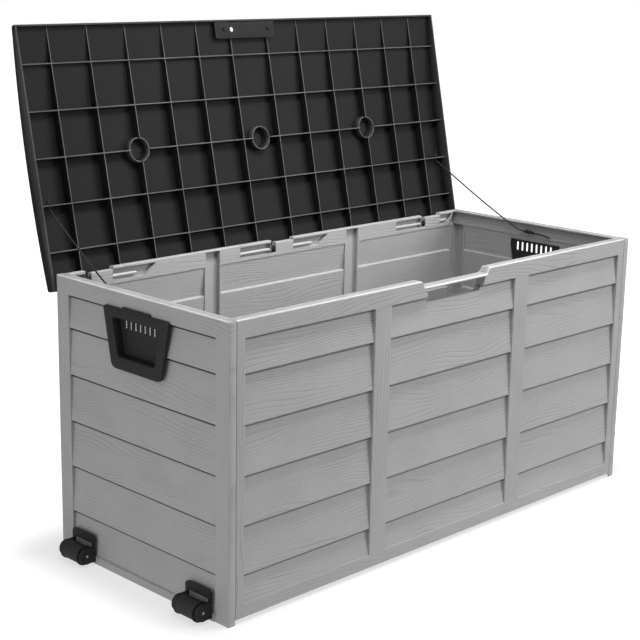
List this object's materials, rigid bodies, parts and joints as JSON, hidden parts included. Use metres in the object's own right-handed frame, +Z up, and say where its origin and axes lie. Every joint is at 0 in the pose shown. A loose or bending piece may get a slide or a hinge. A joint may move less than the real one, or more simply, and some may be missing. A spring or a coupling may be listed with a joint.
{
  "type": "deck storage box",
  "caption": "Rectangular outdoor storage box with plank-look walls, a ribbed lid hinged along the rear and held open by two cords, recessed end handles and rollers under one end.",
  "frame": {"origin": "on the ground under the middle of the box, on the floor tray's centre foot", "axes": "+X along the box towards the end without rollers, -Y out of the front, +Z up; the lid stands open at rest"},
  "size_m": [1.1455, 0.5763, 0.9478],
  "materials": {
    "grey_resin": "moulded wood-grain texture, satin sheen",
    "charcoal_resin": "smooth moulded, satin sheen",
    "black_resin": "smooth moulded, satin sheen",
    "pin_steel": "zinc plated",
    "screw_steel": "zinc plated",
    "cord_black": "braided cord"
  },
  "bodies": {
    "box": {"front_panel": "grey_resin", "rear_panel": "grey_resin", "left_end_panel": "grey_resin", "right_end_panel": "grey_resin", "base_panel": "grey_resin", "left_handle": "black_resin", "right_handle": "black_resin", "left_hinge_pin": "pin_steel", "centre_hinge_pin": "pin_steel", "right_hinge_pin": "pin_steel", "front_wheel_bracket": "black_resin", "rear_wheel_bracket": "black_resin", "front_wheel_axle": "pin_steel", "rear_wheel_axle": "pin_steel", "left_cord_lower_knot": "cord_black", "right_cord_lower_knot": "cord_black", "left_stay_cord": "cord_black", "right_stay_cord": "cord_black"},
    "lid": {"lid_panel": "charcoal_resin", "latch_plate": "charcoal_resin", "left_latch_screw": "screw_steel", "right_latch_screw": "screw_steel", "left_cord_upper_knot": "cord_black", "right_cord_upper_knot": "cord_black"},
    "front_wheel": {"front_wheel": "black_resin"},
    "rear_wheel": {"rear_wheel": "black_resin"}
  },
  "joints": [
    {"name": "lid_hinge", "type": "hinge", "parent": "box", "child": "lid", "pos_m": [0, 0.2249, 0.4997], "axis": [1, 0, 0], "range_deg": [0, 102.2], "deforming": ["left_stay_cord", "right_stay_cord"]},
    {"name": "front_wheel_spin", "type": "hinge", "parent": "box", "child": "front_wheel", "pos_m": [-0.5705, -0.16, 0.0195], "axis": [0, 1, 0], "continuous": true},
    {"name": "rear_wheel_spin", "type": "hinge", "parent": "box", "child": "rear_wheel", "pos_m": [-0.5705, 0.16, 0.0195], "axis": [0, 1, 0], "continuous": true}
  ]
}
